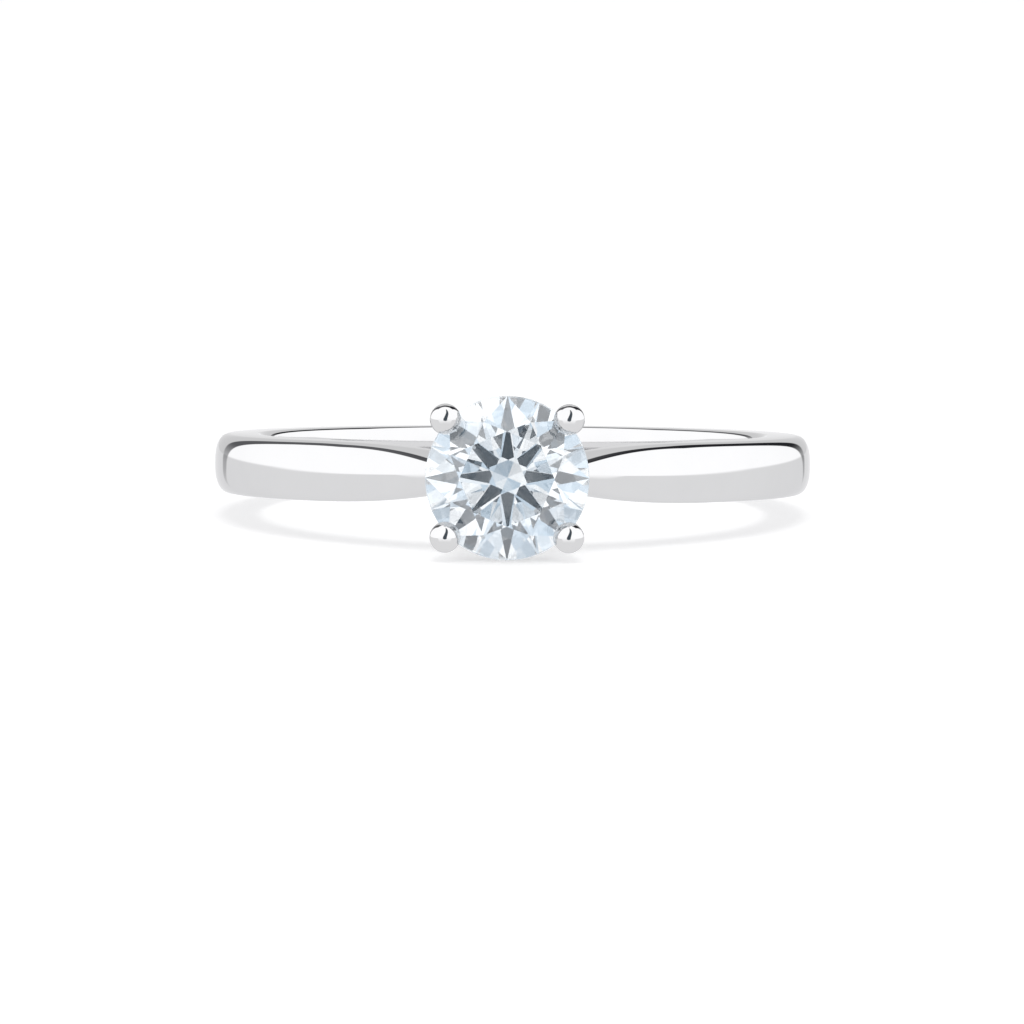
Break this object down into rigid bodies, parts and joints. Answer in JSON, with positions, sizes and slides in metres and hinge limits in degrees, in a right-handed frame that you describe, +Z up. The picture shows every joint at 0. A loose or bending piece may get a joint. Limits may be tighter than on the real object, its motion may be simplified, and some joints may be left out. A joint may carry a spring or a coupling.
{
  "type": "solitaire engagement ring",
  "caption": "Solitaire ring lying on its side: tapered court band, claw basket head on a peg and a round brilliant-cut stone.",
  "frame": {"origin": "on the surface that the ring lies on, under the middle of its length and width; the finger hole's centre is at Y +1.66 mm, Z +1.68 mm", "axes": "+Z up from the surface; the stone faces -Y and is raised from it by 4.3 degrees, because the stone is wider than the band; the finger's axis is 4.3 degrees from Z, in the YZ plane"},
  "size_m": [0.0198, 0.0232, 0.0052],
  "materials": {
    "polished_platinum": "polished",
    "diamond": "polished"
  },
  "bodies": {
    "root": {"band": "polished_platinum", "head_peg": "polished_platinum", "base_rail": "polished_platinum", "gallery_rail": "polished_platinum", "claw_upper_right": "polished_platinum", "claw_upper_left": "polished_platinum", "claw_lower_left": "polished_platinum", "claw_lower_right": "polished_platinum", "diamond": "diamond"}
  },
  "joints": []
}
